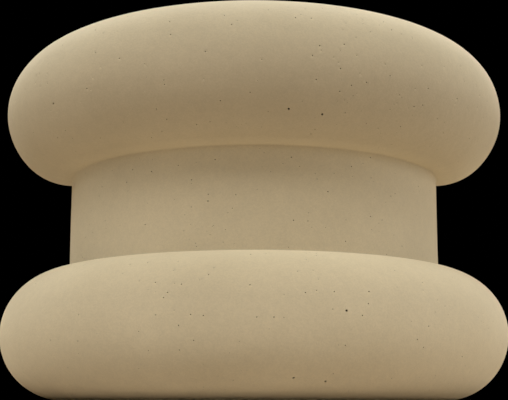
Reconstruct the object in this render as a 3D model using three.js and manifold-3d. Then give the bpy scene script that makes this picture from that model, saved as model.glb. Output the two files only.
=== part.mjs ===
// A half-round cast stone column: two half-round rolls, one above the other, with a plain neck
// between them, and a flat back that stands against a wall. It is one casting, solid right
// through, with a flat bed face at each end. Sizes are millimetres, +Z is up, the front faces -Y,
// and the origin is at floor level, midway between the front of the rolls and the back.

import * as THREE from 'three';
import { mergeVertices } from 'three/addons/utils/BufferGeometryUtils.js';
import Module from 'manifold-3d';

const wasm = await Module();
wasm.setup();

// Driving dimensions
const ROLL_DIAMETER = 508; // across the widest part of either roll
const NECK_DIAMETER = 376; // the plain neck, and the flat bed face at each end
const ROLL_HEIGHT = 128;
const NECK_HEIGHT = 94;

// How finely the round shapes are faceted
const SIDES = 144; // in a whole turn, a multiple of 4 so that a facet's edge falls on the back
const ROLL_STEPS = 24; // over one roll, from its lower edge to its upper edge

// Sizes that follow from them
const neckRadius = NECK_DIAMETER / 2;
const rollProjection = (ROLL_DIAMETER - NECK_DIAMETER) / 2;
const upperRollBase = ROLL_HEIGHT + NECK_HEIGHT;
const columnHeight = upperRollBase + ROLL_HEIGHT;
const columnDepth = ROLL_DIAMETER / 2; // from the back, which holds the axis, to the front

// The stone's finish
const stone = new THREE.MeshStandardMaterial({
  name: 'cast_stone',
  color: new THREE.Color(0.66, 0.56, 0.4),
  roughness: 0.8,
  metalness: 0,
});

// Carries the profile out from the neck line, round a half-ellipse and back, one roll higher.
function addRoll(profile, base) {
  const middle = base + ROLL_HEIGHT / 2;
  const quarterTurn = Math.PI / 2;
  profile.absellipse(neckRadius, middle, rollProjection, ROLL_HEIGHT / 2, -quarterTurn, quarterTurn);
}

// Half of the column's section, from the middle of the underside up to the middle of the top.
// The straight side of the neck is the line that joins the two rolls.
function columnProfile() {
  const profile = new THREE.Path();
  profile.moveTo(0, 0);
  profile.lineTo(neckRadius, 0);
  addRoll(profile, 0);
  profile.lineTo(neckRadius, upperRollBase);
  addRoll(profile, upperRollBase);
  profile.lineTo(0, columnHeight);
  return profile.getPoints(ROLL_STEPS / 2); // an ellipse takes two steps for each division
}

// A closed geometry as a solid that can be cut. Points in one place become one point, and the
// triangles that shrink to a line at the ends of the axis are dropped.
function toSolid(geometry) {
  geometry.deleteAttribute('normal');
  geometry.deleteAttribute('uv');
  const merged = mergeVertices(geometry);
  const corners = merged.index.array;
  const kept = [];
  for (let i = 0; i < corners.length; i += 3) {
    const [a, b, c] = corners.subarray(i, i + 3);
    if (a !== b && b !== c && c !== a) kept.push(a, b, c);
  }
  const vertProperties = merged.attributes.position.array;
  const triVerts = new Uint32Array(kept);
  return new wasm.Manifold(new wasm.Mesh({ numProp: 3, vertProperties, triVerts }));
}

// A solid as a geometry again.
function toGeometry(solid) {
  const mesh = solid.getMesh();
  const geometry = new THREE.BufferGeometry();
  geometry.setAttribute('position', new THREE.BufferAttribute(mesh.vertProperties, 3));
  geometry.setIndex(new THREE.BufferAttribute(mesh.triVerts, 1));
  return geometry;
}

// The profile turned once round the axis, which is stood up along +Z.
function roundColumn() {
  const geometry = new THREE.LatheGeometry(columnProfile(), SIDES);
  geometry.rotateX(Math.PI / 2);
  return toSolid(geometry);
}

// All that lies behind the axis, with room to spare.
function backHalf() {
  const reach = 2 * ROLL_DIAMETER;
  const geometry = new THREE.BoxGeometry(reach, reach, reach);
  geometry.translate(0, reach / 2, 0);
  return toSolid(geometry);
}

// The round column with its back half cut away.
function makeColumn() {
  const geometry = toGeometry(roundColumn().subtract(backHalf()));
  const column = new THREE.Mesh(geometry, stone);
  column.name = 'column';
  column.position.y = columnDepth / 2;
  return column;
}

const castStoneColumn = new THREE.Group();
castStoneColumn.add(makeColumn());

export default castStoneColumn;
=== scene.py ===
"""A short half-round cast stone column: two half-round rolls, one above the other, with a plain neck between
them and a flat back that stands against a wall."""

import bpy
import numpy as np
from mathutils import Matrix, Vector


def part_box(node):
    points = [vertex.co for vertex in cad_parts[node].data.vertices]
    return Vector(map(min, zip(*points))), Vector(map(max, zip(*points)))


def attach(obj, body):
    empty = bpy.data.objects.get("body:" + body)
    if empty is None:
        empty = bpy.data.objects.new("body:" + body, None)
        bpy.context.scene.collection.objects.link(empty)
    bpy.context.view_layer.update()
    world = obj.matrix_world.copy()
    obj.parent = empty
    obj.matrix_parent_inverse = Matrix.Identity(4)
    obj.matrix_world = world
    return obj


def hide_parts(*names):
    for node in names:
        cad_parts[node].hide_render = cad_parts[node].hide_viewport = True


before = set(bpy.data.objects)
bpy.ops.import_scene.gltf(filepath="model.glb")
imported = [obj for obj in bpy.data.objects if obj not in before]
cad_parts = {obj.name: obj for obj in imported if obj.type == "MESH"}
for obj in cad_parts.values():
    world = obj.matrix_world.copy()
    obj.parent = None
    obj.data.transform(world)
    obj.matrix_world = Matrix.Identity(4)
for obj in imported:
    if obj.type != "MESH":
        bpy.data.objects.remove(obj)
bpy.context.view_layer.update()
scene = bpy.context.scene


# The camera
# It stands on the ground a little over a metre from the column and looks up at it. Its place, tilt and focal
# length were found by laying the column's outline over the photograph, 508 pixels wide and 400 high.

PHOTO_WIDTH = 508
PHOTO_HEIGHT = 400
CAMERA_DISTANCE = 1.1147  # from the column's axis, which lies in the flat back
CAMERA_HEIGHT = 0.0005
CAMERA_TILT = np.radians(9.585)
FOCAL_PIXELS = 1083.9
SIGHT_ROW = 217.6  # the row of pixels that the lens points at, as the photograph is cropped off centre
SENSOR_WIDTH = 36.0

column_low, column_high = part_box("column")
axis_y = column_high.y
lens = bpy.data.cameras.new("photo_camera")
lens.sensor_width = SENSOR_WIDTH
lens.lens = FOCAL_PIXELS * SENSOR_WIDTH / PHOTO_WIDTH
lens.shift_y = (SIGHT_ROW - PHOTO_HEIGHT / 2) / PHOTO_WIDTH
camera = bpy.data.objects.new("photo_camera", lens)
camera.location = (0, axis_y - CAMERA_DISTANCE, CAMERA_HEIGHT)
camera.rotation_euler = (np.pi / 2 + CAMERA_TILT, 0, 0)
scene.collection.objects.link(camera)
scene.camera = camera


# The casting
# One piece of cast stone, solid right through: sand, crushed stone and cement packed into a half-round
# mould, struck off flat at the back and rubbed smooth on the front. A flat bed at each end carries the load.

CELL_SIZE = 0.0041  # one step along the section
BED_CELLS = 96  # across a bed face and the back; twice as many go round the front
CORNER_RADIUS = 0.0018  # of the small hollow where a roll meets the neck
CORNER_STEPS = 4
ARRIS_RADIUS = 0.0015  # of the rounded edge all round the flat back
ARRIS_STEPS = 4
SECTION_STEPS = 4000  # of the fine line that a roll's points are read off
SAME_SIZE = 1e-5  # sizes closer than this are taken as one

solid = np.empty(3 * len(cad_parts["column"].data.vertices))
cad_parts["column"].data.vertices.foreach_get("co", solid)
solid = solid.reshape(-1, 3)
solid_radius = np.hypot(solid[:, 0], solid[:, 1] - axis_y)
column_height = column_high.z - column_low.z
bed_radius = solid_radius[np.isclose(solid[:, 2], column_low.z, atol=SAME_SIZE)].max()
on_neck_line = np.isclose(solid_radius, bed_radius, atol=SAME_SIZE)
roll_edges = np.unique(solid[on_neck_line, 2].round(5))
roll_height = roll_edges[1] - roll_edges[0]
roll_bulge = column_high.x - bed_radius


def even_steps(line):
    """A line's points, moved along it so that they stand about one cell apart: the length from its start to
    each point is added up, and every column of the line is read off at even lengths."""
    length = np.append(0, np.cumsum(np.hypot(*np.diff(line[:, :2], axis=0).T)))
    even = np.linspace(0, length[-1], round(length[-1] / CELL_SIZE) + 1)
    return np.stack([np.interp(even, length, values) for values in line.T], axis=-1)


def half_section():
    """The outline on one side of the axis, from the rim of the underside to the rim of the top: the radius,
    the height and the angle that the face looks up by. A roll is half an ellipse: radius = bed + bulge *
    cos(turn), height = middle + half height * sin(turn), with turn from -90 to 90 degrees. A circle that
    touches the ellipse and the straight neck makes the hollow between them. The upper half mirrors it."""
    turn = np.linspace(-np.pi / 2, np.pi / 2, SECTION_STEPS + 1)
    half_height = roll_height / 2
    radius = bed_radius + roll_bulge * np.cos(turn)
    height = half_height + half_height * np.sin(turn)
    facing = np.arctan2(np.sin(turn) / half_height, np.cos(turn) / roll_bulge)
    circle_radius = radius + CORNER_RADIUS * np.cos(facing)
    circle_height = height + CORNER_RADIUS * np.sin(facing)
    touch = np.flatnonzero((turn > 0) & (circle_radius <= bed_radius + CORNER_RADIUS))[0]
    roll = even_steps(np.stack([radius, height, facing], axis=-1)[: touch + 1])
    looking = np.linspace(facing[touch], 0, CORNER_STEPS + 1)[1:]
    hollow_radius = bed_radius + CORNER_RADIUS - CORNER_RADIUS * np.cos(looking)
    hollow_height = circle_height[touch] - CORNER_RADIUS * np.sin(looking)
    hollow = np.stack([hollow_radius, hollow_height, looking], axis=-1)
    neck = even_steps(np.array([(bed_radius, hollow_height[-1], 0), (bed_radius, column_height / 2, 0)]))
    lower = np.concatenate([roll, hollow, neck[1:]])
    upper = lower[-2::-1] * (1, -1, -1) + (0, column_height, 0)
    return np.concatenate([lower, upper]) + (0, column_low.z, 0)


section_radius, section_height, section_facing = half_section().T
section_out = np.cos(section_facing)
section_up = np.sin(section_facing)
half_width = np.sqrt(section_radius**2 - ARRIS_RADIUS**2)  # where the round front runs into the arris
front_cells = 2 * BED_CELLS


# Rubbing by hand leaves the round front a fraction of a millimetre out of true.
RUBBING_DEPTH = 0.00015
RUBBING_LENGTHS = (0.05, 0.16)  # from one shallow hollow to the next
RUBBING_WAVES = 24
RUBBING_EDGE = 8  # cells over which it fades towards the arris
chance = np.random.default_rng(41)


def waves(points, count, directions, lengths):
    """A sum of plane waves, about 1 high: for each, the sine of the distance along its direction over a
    random wave length, from a random start."""
    directions = directions / np.linalg.norm(directions, axis=1, keepdims=True)
    steps = 2 * np.pi * directions / chance.uniform(*lengths, size=(count, 1))
    return np.sin(points @ steps.T + chance.uniform(0, 2 * np.pi, count)).sum(axis=-1) * np.sqrt(2 / count)


def round_front():
    """The section carried round the front, from the left arris to the right one: x = radius * cos(angle),
    y = axis + radius * sin(angle). Rubbing moves each point in or out by as much as its face is upright."""
    spare = np.arcsin(ARRIS_RADIUS / section_radius)[:, None]
    share = np.linspace(0, 1, front_cells + 1)
    angle = np.pi + spare + (np.pi - 2 * spare) * share
    ring = np.stack([np.cos(angle), np.sin(angle), np.zeros_like(angle)], axis=-1)
    true = section_radius[:, None, None] * ring + section_height[:, None, None] * np.array([0, 0, 1])
    rubbed = waves(true, RUBBING_WAVES, chance.normal(size=(RUBBING_WAVES, 3)), RUBBING_LENGTHS)
    fade = np.clip(np.minimum(share, 1 - share) * front_cells / RUBBING_EDGE, 0, 1)
    rubbed = RUBBING_DEPTH * rubbed * section_out[:, None] * fade
    return true + rubbed[..., None] * ring + np.array([0, axis_y, 0])


def side_arris(side):
    """The rounded edge between the round front and the back, on the right (1) or the left (-1): a quarter
    circle centred one arris radius inside both faces, turned from facing out to facing back."""
    turn = np.linspace(0, np.pi / 2, ARRIS_STEPS + 1)[1:-1]
    inward = ARRIS_RADIUS * (1 - np.cos(turn))
    x = side * (half_width[:, None] - inward * section_out[:, None])
    y = np.broadcast_to(axis_y - ARRIS_RADIUS * (1 - np.sin(turn)), x.shape)
    z = section_height[:, None] - inward * section_up[:, None]
    return np.stack([x, y, z], axis=-1)


# The straight edge that strikes off the open side of the mould leaves faint drag lines across the back.
DRAG_DEPTH = 0.0003
DRAG_LENGTHS = (0.006, 0.06)
DRAG_WAVES = 30
DRAG_SLANT = 0.06  # how far the lines stray from level
DRAG_EDGE = 5  # cells over which they fade towards the arris
DRAG_MIDDLE = 0.5  # shares of the depth: where the lines lie, and how far they swing
DRAG_SWING = 0.3


def flat_back():
    """Straight rows of points across the back, from the right arris to the left, one for each point of the
    section. The drag lines are waves that run nearly level, and only go inwards from the true face."""
    across = np.linspace(1, -1, BED_CELLS + 1)
    x = (half_width - ARRIS_RADIUS * section_out)[:, None] * across
    z = np.broadcast_to((section_height - ARRIS_RADIUS * section_up)[:, None], x.shape)
    slant = chance.normal(0, DRAG_SLANT, DRAG_WAVES)
    directions = np.stack([slant, np.ones(DRAG_WAVES)], axis=-1)
    drag = waves(np.stack([x, z], axis=-1), DRAG_WAVES, directions, DRAG_LENGTHS)
    from_side = (1 - np.abs(across)) * BED_CELLS / 2
    from_bed = np.minimum(z - column_low.z, column_high.z - z) / CELL_SIZE
    fade = np.clip(np.minimum(from_side, from_bed) / DRAG_EDGE, 0, 1)
    depth = DRAG_DEPTH * fade * np.clip(DRAG_MIDDLE + DRAG_SWING * drag, 0, 1)
    return np.stack([x, axis_y - depth, z], axis=-1)


def bed_face(height, inward):
    """A flat half-round bed and the arris behind it, as rows of points from the front to the back. A point
    of half a square, whose larger coordinate is d, goes to the half circle of radius d, at an angle that its
    smaller coordinate shares out evenly, so that three sides of the half square become the round rim."""
    across, along = np.meshgrid(np.linspace(-1, 1, BED_CELLS + 1), np.linspace(-1, 0, BED_CELLS // 2 + 1))
    sideways = np.abs(across) >= np.abs(along)
    reach = np.where(sideways, across, along)
    other = np.where(sideways, along, across)
    share = np.pi / 4 * np.divide(other, reach, out=np.zeros_like(reach), where=reach != 0)
    angle = np.where(sideways, share, np.pi / 2 - share)
    front_y = axis_y - ARRIS_RADIUS + reach * np.sin(angle) * (bed_radius - ARRIS_RADIUS)
    flat = np.stack([reach * np.cos(angle) * half_width[0], front_y, np.full_like(front_y, height)], axis=-1)
    turn = np.linspace(0, np.pi / 2, ARRIS_STEPS + 1)[1:, None]
    x = np.broadcast_to(flat[-1, :, 0], (ARRIS_STEPS, BED_CELLS + 1))
    y = np.broadcast_to(axis_y - ARRIS_RADIUS * (1 - np.sin(turn)), x.shape)
    z = np.broadcast_to(height + inward * ARRIS_RADIUS * (1 - np.cos(turn)), x.shape)
    return np.concatenate([flat, np.stack([x, y, z], axis=-1)])


def bed_numbers(loop, first_number):
    """The point numbers of a bed face. Its four edges are the loop of points round the column at that
    height, which starts at the left arris, and the points inside are new."""
    rows = BED_CELLS // 2 + ARRIS_STEPS + 1
    left_front = BED_CELLS // 2
    right_front = left_front + BED_CELLS
    numbers = np.full((rows, BED_CELLS + 1), -1)
    numbers[0] = loop[left_front : right_front + 1]
    numbers[:, 0] = loop[left_front - np.arange(rows)]
    numbers[:, -1] = loop[right_front + np.arange(rows)]
    numbers[-1] = loop[right_front + rows - 1 :][: BED_CELLS + 1][::-1]
    new = numbers < 0
    numbers[new] = first_number + np.arange(np.count_nonzero(new))
    return numbers, new


def grid_cells(numbers):
    """The four corners of every cell of a grid of point numbers, in order round the cell."""
    corners = [numbers[:-1, :-1], numbers[:-1, 1:], numbers[1:, 1:], numbers[1:, :-1]]
    return np.stack(corners, axis=-1).reshape(-1, 4)


girth = np.concatenate([round_front(), side_arris(1), flat_back(), side_arris(-1)[:, ::-1]], axis=1)
girth_rows, girth_columns = girth.shape[:2]
girth_numbers = np.arange(girth_rows * girth_columns).reshape(girth_rows, girth_columns)
girth_cells = grid_cells(np.append(girth_numbers, girth_numbers[:, :1], axis=1))

under_numbers, under_new = bed_numbers(girth_numbers[0], girth_numbers.size)
under_points = bed_face(column_low.z, 1)[under_new]
top_numbers, top_new = bed_numbers(girth_numbers[-1], girth_numbers.size + len(under_points))
top_points = bed_face(column_high.z, -1)[top_new]
top_cells = grid_cells(top_numbers)

points = np.concatenate([girth.reshape(-1, 3), under_points, top_points])
cells = np.concatenate([girth_cells, top_cells, grid_cells(under_numbers)[:, ::-1]])


# Air bubbles caught against the mould leave pinholes in the face, in loose groups. Those that show most in
# the photograph are where it shows them, by pixel; the rest are strewn at random.
LARGE_PINHOLES = [
    (290, 109), (321, 114), (53, 103), (325, 381), (292, 378), (345, 310), (397, 159), (118, 250),
]
UPPER_PINHOLES = [
    (170, 34), (316, 79), (161, 131), (151, 137), (167, 119), (196, 124), (220, 101), (163, 80),
    (164, 84), (118, 58), (204, 51), (231, 24), (65, 131), (99, 138), (340, 68), (339, 91),
    (351, 85), (399, 126),
]
NECK_PINHOLES = [
    (132, 169), (151, 171), (215, 159), (191, 180), (370, 157), (351, 166), (371, 177), (293, 220),
]
LOWER_PINHOLES = [
    (155, 281), (208, 274), (249, 284), (167, 292), (163, 297), (190, 314), (202, 315), (178, 325),
    (193, 340), (304, 292), (333, 291), (367, 303), (362, 315), (345, 344), (417, 339), (423, 347),
    (462, 357), (391, 378),
]
LARGE_RADIUS = 0.00108
MEDIUM_RADIUS = 0.00056
PINHOLE_DEPTH = 2.0  # in radii
GROUPS = 90
GROUP_SIZE = (2, 8)
GROUP_SPREAD = 4.0  # in cells
FRONT_SINGLES = 340
BACK_SINGLES = 90
TOP_SINGLES = 60
SMALLEST_PINHOLE = 0.00028
PINHOLE_RANGE = 0.00034  # from the smallest radius of those strewn to the largest
PINHOLE_RARITY = 3  # the higher, the fewer are large
RIM_POINTS = 12
WALL_RINGS = np.array([(1.0, 0.0), (0.9, 0.6), (0.55, 0.92)])  # shares of the radius and of the depth
RIM_MARGIN = 1.35  # the rim's own radius and a little more stay inside the cell
RIM_STRETCH = (1.0, 1.4)  # length over width
RIM_UNEVENNESS = (0.88, 1.08)
CELL_ROOM = 2.2  # the least width of a cell that takes a pinhole, in margins
FIRST_CORNER = np.radians(-135)  # the direction from a cell's middle to its first corner
DEPTH_PER_PIXEL = 0.02  # lying this much further back counts as much as showing one pixel further off


def in_photo(places):
    """Where places show in the photograph, and how far they are from the lens along its line of sight: the
    sideways and upward distances, over the distance ahead, times the focal length in pixels."""
    offset = places - np.array(camera.location)
    ahead = offset[..., 1] * np.cos(CAMERA_TILT) + offset[..., 2] * np.sin(CAMERA_TILT)
    up = offset[..., 2] * np.cos(CAMERA_TILT) - offset[..., 1] * np.sin(CAMERA_TILT)
    column = PHOTO_WIDTH / 2 + FOCAL_PIXELS * offset[..., 0] / ahead
    row = SIGHT_ROW - FOCAL_PIXELS * up / ahead
    return np.stack([column, row], axis=-1), ahead


corners = points[cells]
cell_middle = corners.mean(axis=1)
cell_normal = np.cross(corners[:, 2] - corners[:, 0], corners[:, 3] - corners[:, 1])
cell_normal /= np.linalg.norm(cell_normal, axis=1, keepdims=True)
cell_width = np.linalg.norm(corners[:, 1] - corners[:, 0], axis=1)
cell_length = np.linalg.norm(corners[:, 3] - corners[:, 0], axis=1)


def cells_at(pixels):
    """The cell that shows at each pixel, and where in the cell the pixel falls. Of the cells that face the
    camera it is the nearest to the pixel, with a little added for lying further back."""
    shown, ahead = in_photo(cell_middle)
    to_camera = np.array(camera.location) - cell_middle
    hidden = (cell_normal * to_camera).sum(axis=1) <= 0
    miss = np.linalg.norm(shown - pixels[:, None], axis=-1) + ahead / DEPTH_PER_PIXEL
    found = np.where(hidden, np.inf, miss).argmin(axis=1)
    shown_corners, _ = in_photo(corners[found])
    first = shown_corners[:, 1] - shown_corners[:, 0]
    second = shown_corners[:, 3] - shown_corners[:, 0]
    offset = pixels - shown_corners[:, 0]
    area = first[:, 0] * second[:, 1] - first[:, 1] * second[:, 0]
    u = (offset[:, 0] * second[:, 1] - offset[:, 1] * second[:, 0]) / area
    v = (first[:, 0] * offset[:, 1] - first[:, 1] * offset[:, 0]) / area
    return found, np.stack([u, v], axis=-1)


medium_pinholes = UPPER_PINHOLES + NECK_PINHOLES + LOWER_PINHOLES
photo_cells, photo_spots = cells_at(np.array(LARGE_PINHOLES + medium_pinholes) + 0.5)
photo_radius = np.repeat([LARGE_RADIUS, MEDIUM_RADIUS], [len(LARGE_PINHOLES), len(medium_pinholes)])

section_rows = girth_rows - 1
row_area = np.hypot(np.diff(section_radius), np.diff(section_height)) * section_radius[:-1]
row_share = row_area / row_area.sum()
group_row = chance.choice(section_rows, GROUPS, p=row_share)
group_size = chance.integers(*GROUP_SIZE, GROUPS)
group_place = np.stack([group_row, chance.integers(0, front_cells, GROUPS)], axis=-1)
grouped = np.repeat(group_place, group_size, axis=0)
grouped = (grouped + chance.normal(0, GROUP_SPREAD, grouped.shape)).round().astype(int)
grouped = np.clip(grouped, 0, (section_rows - 1, front_cells - 1))
single_row = chance.choice(section_rows, FRONT_SINGLES, p=row_share)
singles = np.stack([single_row, chance.integers(0, front_cells, FRONT_SINGLES)], axis=-1)
back_start = front_cells + ARRIS_STEPS
back_row = chance.integers(0, section_rows, BACK_SINGLES)
back_singles = np.stack([back_row, back_start + chance.integers(0, BED_CELLS, BACK_SINGLES)], axis=-1)
strewn = np.concatenate([grouped, singles, back_singles])
top_strewn = len(girth_cells) + chance.integers(0, len(top_cells), TOP_SINGLES)
strewn_cells = np.append(strewn[:, 0] * girth_columns + strewn[:, 1], top_strewn)
strewn_radius = SMALLEST_PINHOLE + PINHOLE_RANGE * chance.random(len(strewn_cells)) ** PINHOLE_RARITY
strewn_spots = chance.random((len(strewn_cells), 2))

pinhole_cells = np.append(photo_cells, strewn_cells)
pinhole_radius = np.append(photo_radius, strewn_radius)
pinhole_spots = np.concatenate([photo_spots, strewn_spots])
pinhole_room = CELL_ROOM * RIM_MARGIN * pinhole_radius
roomy = np.minimum(cell_width, cell_length)[pinhole_cells] > pinhole_room
_, first_of_cell = np.unique(np.where(roomy, pinhole_cells, -1), return_index=True)
kept = np.sort(first_of_cell[roomy[first_of_cell]])
pinhole_cells = pinhole_cells[kept]
pinhole_radius = pinhole_radius[kept]
pinhole_spots = pinhole_spots[kept]


def pinhole_cups(cell, radius, spot, first_number):
    """A small cup sunk into each chosen cell, and the faces that join its rim to the cell's four corners.
    The rim is an uneven ellipse round a spot of the cell, and rings of the same shape, narrower and deeper,
    lead down to one point at the bottom."""
    count = len(cell)
    corner = corners[cell]
    margin = RIM_MARGIN * radius[:, None] / np.stack([cell_width[cell], cell_length[cell]], axis=-1)
    u, v = np.clip(spot, margin, 1 - margin).T[..., None]
    middle = corner[:, 0] * (1 - u) * (1 - v) + corner[:, 1] * u * (1 - v)
    middle = middle + corner[:, 2] * u * v + corner[:, 3] * (1 - u) * v
    normal = cell_normal[cell]
    first = corner[:, 1] - corner[:, 0]
    first /= np.linalg.norm(first, axis=1, keepdims=True)
    second = np.cross(normal, first)
    angle = FIRST_CORNER + 2 * np.pi * np.arange(RIM_POINTS) / RIM_POINTS
    stretch = chance.uniform(*RIM_STRETCH, (count, 1))
    lean = angle - chance.uniform(0, np.pi, (count, 1))
    reach = radius[:, None] / np.sqrt(np.cos(lean) ** 2 / stretch + np.sin(lean) ** 2 * stretch)
    reach = reach * chance.uniform(*RIM_UNEVENNESS, reach.shape)
    spoke = np.cos(angle)[:, None] * first[:, None] + np.sin(angle)[:, None] * second[:, None]
    spoke = spoke * reach[..., None]
    depth = PINHOLE_DEPTH * radius[:, None] * normal
    rings = middle[:, None, None] + WALL_RINGS[:, 0, None, None] * spoke[:, None]
    rings = rings - WALL_RINGS[:, 1, None, None] * depth[:, None, None]
    cup_points = np.concatenate([rings.reshape(count, -1, 3), (middle - depth)[:, None]], axis=1)

    cup_size = cup_points.shape[1]
    numbers = first_number + np.arange(count * cup_size).reshape(count, cup_size)
    bottom = np.repeat(numbers[:, -1:], RIM_POINTS, axis=1)
    numbers = numbers[:, :-1].reshape(count, len(WALL_RINGS), RIM_POINTS)
    onward = np.roll(numbers, -1, axis=2)
    walls = np.stack([numbers[:, :-1], onward[:, :-1], onward[:, 1:], numbers[:, 1:]], axis=-1)
    floors = np.stack([numbers[:, -1], onward[:, -1], bottom], axis=-1)
    rim = numbers[:, 0]
    per_side = RIM_POINTS // 4
    start = cells[cell]
    end = np.roll(start, -1, axis=1)
    at_corner = rim[:, ::per_side]
    beside = rim[:, 1::per_side]
    before = rim[:, 2::per_side]
    next_corner = np.roll(at_corner, -1, axis=1)
    spans = np.stack([start, end, before, beside], axis=-1)
    leading = np.stack([start, beside, at_corner], axis=-1)
    closing = np.stack([end, next_corner, before], axis=-1)
    quads = np.concatenate([walls.reshape(-1, 4), spans.reshape(-1, 4)])
    triangles = np.concatenate([part.reshape(-1, 3) for part in (floors, leading, closing)])
    return cup_points.reshape(-1, 3), quads, triangles, rim.ravel()


cup_points, cup_quads, cup_triangles, rim_points = pinhole_cups(
    pinhole_cells, pinhole_radius, pinhole_spots, len(points)
)
whole_cells = np.delete(cells, pinhole_cells, axis=0)
all_points = np.concatenate([points, cup_points])
all_faces = whole_cells.tolist() + cup_quads.tolist() + cup_triangles.tolist()

column_mesh = bpy.data.meshes.new("column_casting")
column_mesh.from_pydata(all_points, [], all_faces)
column_mesh.shade_smooth()

is_rim = np.zeros(len(all_points), bool)
is_rim[rim_points] = True
edge_ends = np.empty(2 * len(column_mesh.edges), np.int32)
column_mesh.edges.foreach_get("vertices", edge_ends)
rim_edges = is_rim[edge_ends.reshape(-1, 2)].all(axis=1)
column_mesh.attributes.new("sharp_edge", "BOOLEAN", "EDGE").data.foreach_set("value", rim_edges)

# Points inside the pinholes, below the rim. The material paints them near black as painted shade in the
# hollows.
inside = np.arange(len(all_points)) >= len(points)
inside[rim_points] = False
pinhole_mark = column_mesh.attributes.new("pinhole", "FLOAT", "POINT")
pinhole_mark.data.foreach_set("value", inside.astype(np.float32))

# How far each point's face looks up. The stone's material uses it to paint a highlight on upward faces and
# shade under the upper roll.
normals = np.empty(3 * len(all_points), np.float32)
column_mesh.vertex_normals.foreach_get("vector", normals)
looks_up_mark = column_mesh.attributes.new("looks_up", "FLOAT", "POINT")
looks_up_mark.data.foreach_set("value", normals[2::3].copy())

column = bpy.data.objects.new("column_casting", column_mesh)
scene.collection.objects.link(column)


# The stone is warm cream to buff, faintly cloudy, with fine sand grain. Its colour is painted a little paler
# where it looks up, which is a painted highlight, and darker on the underside of the upper roll, which is
# painted shade.
CREAM = (0.684, 0.59, 0.401, 1)
BUFF = (0.648, 0.556, 0.374, 1)
CLOUD_SIZE = 0.11
CLOUD_RANGE = (0.36, 0.64)  # of the noise, from all buff to all cream
GRAIN_SIZE = 0.0011
GRAIN_TONE = (0.965, 1.035)
MOTTLE_SIZE = 0.008
MOTTLE_TONE = (0.981, 1.019)
PINHOLE_PAINTED_SHADE = (0.07, 0.05, 0.03, 1)
NO_PAINTED_CHANGE = (1, 1, 1, 1)
PAINTED_TOP_HIGHLIGHT = (1.13, 1.13, 1.11, 1)  # what the colour is multiplied by where it looks up: a painted highlight
TOP_HIGHLIGHT_FACING = (0.35, 0.95)  # how far a face looks up where that starts, and where it is full
PAINTED_UNDERSIDE_SHADE = (0.84, 0.815, 0.79, 1)  # and what it is multiplied by on the underside of the upper roll: painted shade
UNDERSIDE_SHADE_FACING = (0.3, -0.3)
UNDERSIDE_SHADE_EDGE = 0.003  # half the height over which it starts, above the neck
NOISE_RANGE = (0.3, 0.7)  # where nearly all of a noise lies
PORE_SIZE = 0.004  # of the patches that differ in roughness
STONE_ROUGHNESS = (0.74, 0.90)
SPECULAR = 0.35
DIFFUSE_ROUGHNESS = 0.9
SHEEN = 0.5  # of the dusty surface, at a low angle
SAND_RELIEF_SIZE = 0.0016
WAVY_RELIEF_SIZE = 0.009
WAVY_SHARE = 2.0  # of the wavy relief, next to the sand's
GRAIN_RELIEF = 0.00012

stone = bpy.data.materials.new("cast_stone")
stone.use_nodes = True
tree = stone.node_tree


def add_node(kind, settings, inputs):
    """A shader node with its settings, and each of its inputs given a value or joined to an output."""
    node = tree.nodes.new(kind)
    for name, value in settings.items():
        setattr(node, name, value)
    for name, value in inputs.items():
        if isinstance(value, bpy.types.NodeSocket):
            tree.links.new(value, node.inputs[name])
        else:
            node.inputs[name].default_value = value
    return node


def noise(size, detail):
    """Soft random values from 0 to 1, with features about that size in metres and that many finer layers."""
    inputs = {"Vector": place, "Scale": 1 / size, "Detail": detail}
    return add_node("ShaderNodeTexNoise", {}, inputs).outputs["Fac"]


def ranged(value, low, high, new_low, new_high):
    """A value moved from one range to another, and kept within it."""
    inputs = {"Value": value, "From Min": low, "From Max": high, "To Min": new_low, "To Max": new_high}
    return add_node("ShaderNodeMapRange", {}, inputs).outputs["Result"]


def maths(operation, first, second):
    """Two values added or multiplied."""
    return add_node("ShaderNodeMath", {"operation": operation}, {0: first, 1: second}).outputs[0]


def mixed(factor, first, second):
    """A colour between two, at that share of the way from the first to the second."""
    settings = {"data_type": "RGBA"}
    return add_node("ShaderNodeMix", settings, {0: factor, 6: first, 7: second}).outputs[2]


place = add_node("ShaderNodeTexCoord", {}, {}).outputs["Object"]
clouds = ranged(noise(CLOUD_SIZE, 3), *CLOUD_RANGE, 0, 1)
body_colour = mixed(clouds, BUFF, CREAM)

grains = add_node("ShaderNodeTexVoronoi", {}, {"Vector": place, "Scale": 1 / GRAIN_SIZE}).outputs["Color"]
one_grain = add_node("ShaderNodeSeparateColor", {}, {"Color": grains}).outputs[0]
mottle = ranged(noise(MOTTLE_SIZE, 4), *NOISE_RANGE, *MOTTLE_TONE)
tone = maths("MULTIPLY", ranged(one_grain, 0, 1, *GRAIN_TONE), mottle)
toned = add_node("ShaderNodeVectorMath", {"operation": "SCALE"}, {0: body_colour, "Scale": tone}).outputs[0]

height = add_node("ShaderNodeSeparateXYZ", {}, {"Vector": place}).outputs["Z"]
looks_up = add_node("ShaderNodeAttribute", {"attribute_name": "looks_up"}, {}).outputs["Fac"]
# Painted highlight: faces that look up are made lighter, standing in for the light that falls on them from
# above.
painted_top_highlight = mixed(ranged(looks_up, *TOP_HIGHLIGHT_FACING, 0, 1), NO_PAINTED_CHANGE, PAINTED_TOP_HIGHLIGHT)
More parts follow.
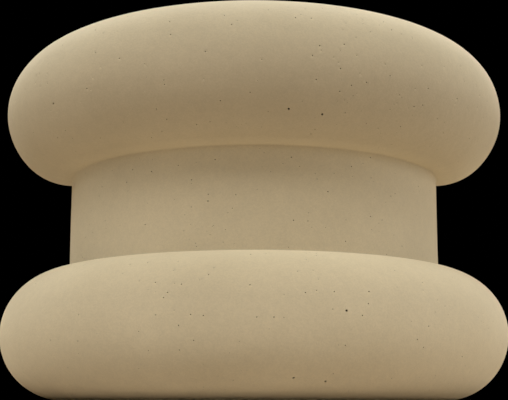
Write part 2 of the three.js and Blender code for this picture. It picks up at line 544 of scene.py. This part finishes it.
# Painted shade: the downward faces of the upper roll are darkened and warmed, where shade falls under the
# overhang.
upper_roll = ranged(height, roll_edges[2] - UNDERSIDE_SHADE_EDGE, roll_edges[2] + UNDERSIDE_SHADE_EDGE, 0, 1)
painted_underside_shade = maths("MULTIPLY", upper_roll, ranged(looks_up, *UNDERSIDE_SHADE_FACING, 0, 1))
painted_light_and_shade = mixed(painted_underside_shade, painted_top_highlight, PAINTED_UNDERSIDE_SHADE)
toned_with_painted_light_and_shade = add_node("ShaderNodeVectorMath", {"operation": "MULTIPLY"}, {0: toned, 1: painted_light_and_shade}).outputs[0]

# The insides of the pinholes are painted near black: painted shade in the hollows.
pinhole = add_node("ShaderNodeAttribute", {"attribute_name": "pinhole"}, {}).outputs["Fac"]
colour = mixed(pinhole, toned_with_painted_light_and_shade, PINHOLE_PAINTED_SHADE)

wavy_relief = maths("MULTIPLY", noise(WAVY_RELIEF_SIZE, 2), WAVY_SHARE)
relief = maths("ADD", noise(SAND_RELIEF_SIZE, 3), wavy_relief)
bump = add_node("ShaderNodeBump", {}, {"Height": relief, "Distance": GRAIN_RELIEF, "Strength": 1})

shader = tree.nodes["Principled BSDF"]
shader.inputs["Specular IOR Level"].default_value = SPECULAR
shader.inputs["Diffuse Roughness"].default_value = DIFFUSE_ROUGHNESS
shader.inputs["Sheen Weight"].default_value = SHEEN
shader.inputs["Sheen Tint"].default_value = CREAM
tree.links.new(colour, shader.inputs["Base Color"])
roughness = ranged(noise(PORE_SIZE, 3), *NOISE_RANGE, *STONE_ROUGHNESS)
tree.links.new(roughness, shader.inputs["Roughness"])
tree.links.new(bump.outputs["Normal"], shader.inputs["Normal"])
column_mesh.materials.append(stone)

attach(column, "root")
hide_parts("column")


# The floor
# A plain studio floor under the column, a wide round sheet. Its colour is pale by the column and dims
# further out, a painted pool of light, so that the light it throws back is strongest at the foot, as in the
# photograph.

FLOOR_RADIUS = 30.0
FLOOR_SIDES = 96
FLOOR_PAINTED_POOL = (0.70, 0.595, 0.475, 1)
FLOOR_DIM = (0.20, 0.17, 0.14, 1)
PALE_REACH = 0.35  # how far from the middle the floor keeps its full tone
DIM_REACH = 1.1  # and where it is down to the dim one
FLOOR_ROUGHNESS = 0.9

floor_turn = 2 * np.pi * np.arange(FLOOR_SIDES) / FLOOR_SIDES
floor_x = FLOOR_RADIUS * np.cos(floor_turn)
floor_y = FLOOR_RADIUS * np.sin(floor_turn)
floor_edge = np.stack([floor_x, floor_y, np.full(FLOOR_SIDES, column_low.z)], axis=-1)
floor_mesh = bpy.data.meshes.new("floor")
floor_mesh.from_pydata(floor_edge, [], [list(range(FLOOR_SIDES))])
floor_paint = bpy.data.materials.new("floor_with_painted_light_pool")
floor_paint.use_nodes = True
tree = floor_paint.node_tree
floor_place = add_node("ShaderNodeTexCoord", {}, {}).outputs["Object"]
distance = add_node("ShaderNodeVectorMath", {"operation": "LENGTH"}, {0: floor_place}).outputs["Value"]
# Painted pool of light: the floor's colour fades from pale by the column to dim further out.
floor_colour = mixed(ranged(distance, PALE_REACH, DIM_REACH, 0, 1), FLOOR_PAINTED_POOL, FLOOR_DIM)
floor_shader = tree.nodes["Principled BSDF"]
floor_shader.inputs["Roughness"].default_value = FLOOR_ROUGHNESS
tree.links.new(floor_colour, floor_shader.inputs["Base Color"])
floor_mesh.materials.append(floor_paint)
floor = bpy.data.objects.new("floor", floor_mesh)
scene.collection.objects.link(floor)


# The lights
# Soft studio lights in a dark room, all at one distance from the column: a low one and a high pair in front,
# one high on the left, two lower ones on the right, and three behind, the strongest of them near overhead.

LIGHT_REACH = 2.6
LIGHT_SIZE = 1.1
LIGHT_MIDDLE = Vector((0, 0, column_height / 2))


def softbox(name, azimuth, elevation, watts):
    """A square light that faces the middle of the column and isn't seen by the camera. Azimuth 0 is the
    front and 90 the right, in degrees, and elevation is the angle up from level."""
    turn = np.radians(azimuth)
    rise = np.radians(elevation)
    towards = Vector((np.sin(turn) * np.cos(rise), -np.cos(turn) * np.cos(rise), np.sin(rise)))
    light = bpy.data.lights.new(name, "AREA")
    light.size = LIGHT_SIZE
    light.energy = watts
    box = bpy.data.objects.new(name, light)
    box.location = LIGHT_MIDDLE + LIGHT_REACH * towards
    box.rotation_euler = towards.to_track_quat("Z", "Y").to_euler()
    box.visible_camera = False
    scene.collection.objects.link(box)


softbox("front_low", 0, 14, 8.7)
softbox("front_high_left", -17, 52, 16.2)
softbox("front_high_right", 17, 52, 16.2)
softbox("left_key", -55, 41, 15.5)
softbox("right_fill", 55, 30, 5)
softbox("right_rim", 102, 14, 21)
softbox("back_left", -150, 40, 9)
softbox("back_right", 150, 40, 9)
softbox("back_top", 180, 70, 30)

room = bpy.data.worlds.new("dark_room")
room.use_nodes = True
room.node_tree.nodes["Background"].inputs["Color"].default_value = (0, 0, 0, 1)
scene.world = room
scene.view_settings.view_transform = "Standard"
